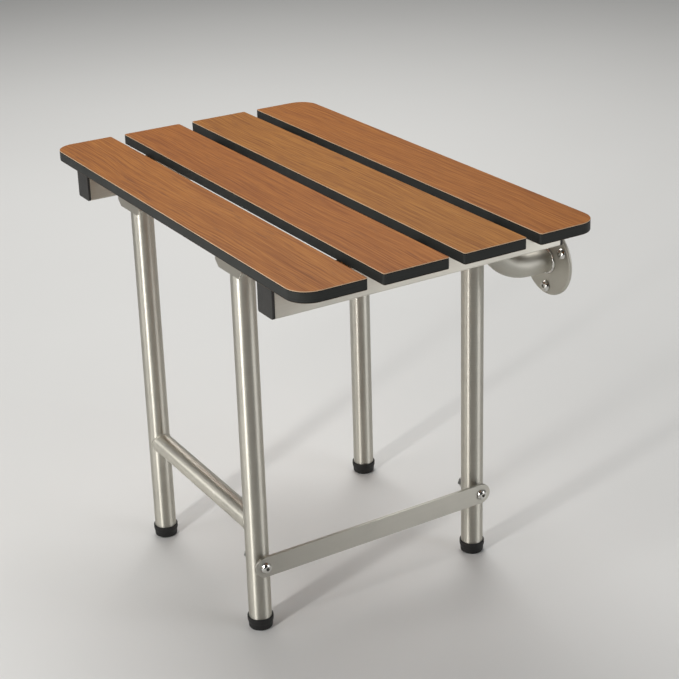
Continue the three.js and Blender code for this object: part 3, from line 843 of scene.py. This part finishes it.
def socket_head(head, height, shank, length):
    socket = 0.40 * head
    points = [(0, -length), (shank, -length), (shank, -height), (head, -height), (head, -0.78 * height),
              (0.80 * head, -0.26 * height), (0.52 * head, 0), (socket, 0)]
    recess = [(socket, 0, 6), (socket, -0.55 * height, 6), (0, -0.62 * height)]
    return rounded(points, 0.5 * MM, steps=3)[:-1] + recess


def quarter(radius, rise, steps=8):
    angles = [math.pi / 2 * i / steps for i in range(steps)]
    return [(radius * math.cos(a), rise * (math.sin(a) - 1)) for a in angles] + [(0, 0)]


def dome_nut(across, height):
    corner, flat = across / 2, 0.55 * height
    hexagon = [(0.9 * corner, -height, 6), (corner, 0.06 * flat - height, 6), (corner, flat - height, 6)]
    return [(0, -height)] + hexagon + [(0.42 * across, flat - height)] + quarter(0.40 * across, height - flat)


# %% State the rule of a set of fasteners
fastener_tree, given = new_tree("fastener_rule", [("Fastener", "Object"), ("Turn", "Vector"), ("Seed", "Int"),
                                                  ("Material", "Material")])
drawn = add_node(fastener_tree, "GeometryNodeObjectInfo", Object=given["Fastener"]).outputs["Geometry"]
facing = add_node(fastener_tree, "FunctionNodeEulerToRotation", Euler=given["Turn"]).outputs[0]
chance = add_node(fastener_tree, "FunctionNodeRandomValue", Max=2 * math.pi, Seed=given["Seed"])
angle = next(s for s in chance.outputs if s.enabled)
spin = add_node(fastener_tree, "FunctionNodeAxisAngleToRotation", Axis=(0, 0, 1), Angle=angle).outputs[0]
turned_to = add_node(fastener_tree, "FunctionNodeRotateRotation", {"rotation_space": "LOCAL"},
                     Rotation=facing, Rotate_By=spin).outputs[0]
places = add_node(fastener_tree, "GeometryNodeMeshToPoints", Mesh=given["Geometry"]).outputs[0]
copies = add_node(fastener_tree, "GeometryNodeInstanceOnPoints", Points=places, Instance=drawn,
                  Rotation=turned_to)
close_tree(fastener_tree, copies.outputs[0], given["Material"])
FACING = {
    "X": ((0, math.pi / 2, 0), lambda box: (box.high.x, box.centre.y, box.centre.z)),
    "-X": ((0, -math.pi / 2, 0), lambda box: (box.low.x, box.centre.y, box.centre.z)),
    "-Y": ((math.pi / 2, 0, 0), lambda box: (box.centre.x, box.low.y, box.centre.z)),
    "-Z": ((math.pi, 0, 0), lambda box: (box.centre.x, box.centre.y, box.low.z)),
}


def fasteners(name, profile, axis, nodes, body, sides=48, seed=1, material=bright_steel):
    turn_by, head_place = FACING[axis]
    pattern = bpy.data.objects.new("pattern", mesh_of(turned(profile, sides=sides), "pattern"))
    scene.collection.objects.link(pattern)
    heads = bpy.data.meshes.new("places")
    heads.from_pydata([head_place(measure(node)) for node in nodes], [], [])
    values = {"Fastener": pattern, "Turn": turn_by, "Seed": seed, "Material": material}
    mesh = grown(name, fastener_tree, values, heads)
    bpy.data.objects.remove(pattern)
    return finished(name, mesh, material, body, nodes)


print("fastener rule nodes:", len(fastener_tree.nodes))

# %% Place the fasteners
# Each size is the head's radius and height, then the shank's radius and length.
WALL_SCREW = (6.5 * MM, 4.0 * MM, 3 * MM, 6 * MM)
SLAT_SCREW = (4.6 * MM, 2.4 * MM, 2.5 * MM, 12 * MM)
BRACKET_SCREW = (4.2 * MM, 1.9 * MM, 2 * MM, 12 * MM)
LINK_BOLT, LINK_SHANK_SHARE = (6.6 * MM, 4.2 * MM, 4 * MM), 0.9
wall_screws = [f"wall_screw_{i}_{side}" for side in SIDES for i in (1, 2, 3)]
slat_screws = [f"slat_screw_{i}_{side}" for side in SIDES for i in (1, 2, 3, 4)]
bracket_screws = [f"bracket_screw_{i}_{side}" for side in SIDES for i in (1, 2)]
fasteners("wall_screws", socket_head(*WALL_SCREW), "-Y", wall_screws, "wall_mount", seed=3)
fasteners("slat_screws", socket_head(*SLAT_SCREW), "-Z", slat_screws, "seat",
          sides=24, seed=4, material=even_satin)
fasteners("bracket_screws", socket_head(*BRACKET_SCREW), "-Z", bracket_screws, "seat", sides=24, seed=5)
for pair in ("front", "rear"):
    bolt, nut = f"link_bolt_{pair}", f"link_nut_{pair}"
    shank = LINK_SHANK_SHARE * measure(bolt).size.x
    fasteners(bolt, socket_head(*LINK_BOLT, shank), "X", [bolt], f"{pair}_legs", sides=72, seed=6)
    fasteners(nut, dome_nut(measure(nut).size.z, measure(nut).size.x), "-X", [nut], f"{pair}_legs", seed=7)
print("screws:", len(wall_screws) + len(slat_screws) + len(bracket_screws), "- link bolts and nuts: 4")

# %% Turn the pivot pins
PIN_RADIUS, PIN_HEAD_HEIGHT = 4 * MM, 2.2 * MM


def pivot_pin_profile(box):
    half = box.size.x / 2
    shoulder = half - PIN_HEAD_HEIGHT
    top = [(r, half + h) for r, h in quarter(box.size.z / 2, PIN_HEAD_HEIGHT)]
    bottom = [(r, -h) for r, h in reversed(top)]
    return bottom + [(PIN_RADIUS, -shoulder), (PIN_RADIUS, shoulder)] + top


for side in SIDES:
    pin = f"pivot_pin_{side}"
    finished_turning(pin, pivot_pin_profile(measure(pin)), bright_steel, "seat", "polished_steel", [pin],
                     sides=40, axis="X", place=measure(pin).centre)
print("pivot pins:", round(measure(pin).size.x / MM, 1), "mm long")

# %% [markdown]
# ## Bushes
# The plastic bushes inside the leg tops are the right shape as they are and hardly seen, so they keep
# their engineering meshes and only take the moulded plastic.

# %% Paint the nodes that stay
for name, node in frame["nodes"].items():
    if name.startswith("leg_bush"):
        node.data.materials.clear()
        node.data.materials.append(cap_plastic)
        print("kept:", name)

# %% [markdown]
# ## Floor and light
# The seat stands on a plain pale floor. Light comes from four soft panels: a large window high on the
# left, a weak one at the front, a narrow strip that draws a bright line down each tube, and a fill from
# the right, on the wall's side. The world behind them is a grey that darkens downwards, to the right and
# away from the wall, so that the steel has something dark to mirror.

# %% Lay the floor


def pale_floor():
    material, tree, shader, coordinates = new_material("pale_floor")
    cloud = grain(tree, coordinates, (1.5, 1.5, 1.5), detail=3.0)
    shade = blend_colour(tree, cloud, (0.69, 0.69, 0.68, 1), (0.73, 0.73, 0.72, 1))
    tree.links.new(shade, shader.inputs["Base Color"])
    shader.inputs["Roughness"].default_value = 0.75
    return material


FLOOR_HALF = 10.0
floor_mesh = bpy.data.meshes.new("floor")
corners = [(-FLOOR_HALF, -FLOOR_HALF, 0), (FLOOR_HALF, -FLOOR_HALF, 0), (FLOOR_HALF, FLOOR_HALF, 0),
           (-FLOOR_HALF, FLOOR_HALF, 0)]
floor_mesh.from_pydata(corners, [], [(0, 1, 2, 3)])
floor = bpy.data.objects.new("floor", floor_mesh)
scene.collection.objects.link(floor)
floor_mesh.materials.append(pale_floor())
floor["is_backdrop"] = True
print("floor:", 2 * FLOOR_HALF, "m square")

# %% Hang the lights


def soft_light(name, place, target, width, height, power, colour):
    data = bpy.data.lights.new(name, "AREA")
    data.shape = "RECTANGLE"
    data.size, data.size_y = width, height
    data.energy = power
    data.color = colour
    lamp = bpy.data.objects.new(name, data)
    scene.collection.objects.link(lamp)
    lamp.visible_camera = False
    aim = Vector(target) - Vector(place)
    lamp.matrix_world = Matrix.Translation(place) @ aim.to_track_quat("-Z", "Y").to_matrix().to_4x4()
    print(name, power, "W")


AIM = (0, 0, 0.25)
WARM_WHITE, COOL_WHITE = (1.0, 0.99, 0.97), (0.97, 0.98, 1.0)
soft_light("window", (-1.6, 0.7, 2.7), (-0.4, 0.2, 0.1), 2.0, 2.0, 66, WARM_WHITE)
soft_light("front", (-0.6, -2.4, 1.0), AIM, 1.4, 0.8, 10, WARM_WHITE)
soft_light("strip", (0.50, -1.40, 0.95), (0, 0, 0.6), 0.10, 1.7, 14, WARM_WHITE)
soft_light("fill", (2.1, 1.5, 1.0), AIM, 1.3, 1.6, 17, COOL_WHITE)


def studio_world():
    world = bpy.data.worlds.new("studio")
    world.use_nodes = True
    scene.world = world
    tree = world.node_tree
    direction = add_node(tree, "ShaderNodeTexCoord").outputs["Generated"]
    parts = add_node(tree, "ShaderNodeSeparateXYZ", Vector=direction)
    away = maths(tree, "SUBTRACT", parts.outputs["X"], maths(tree, "MULTIPLY", parts.outputs["Y"], 0.4))
    dim = spread(tree, away, 1.0, 0.10, -0.3, 0.7)
    up = spread(tree, parts.outputs["Z"], 0.5, 1.0, 0.0, 0.8)
    level = maths(tree, "MULTIPLY", dim, up)
    colour = blend_colour(tree, level, (0.05, 0.05, 0.048, 1), (1.0, 0.995, 0.985, 1))
    background = tree.nodes["Background"]
    tree.links.new(colour, background.inputs["Color"])
    background.inputs["Strength"].default_value = 0.25


studio_world()
scene.view_settings.view_transform = "Standard"
scene.view_settings.look = "None"

# %% Write the sizes and finish
finished_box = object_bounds()
for label, box in (("engineering", cad_box), ("finished", finished_box)):
    print(label, "box, mm:", [round(v / MM, 1) for corner_point in box for v in corner_point])
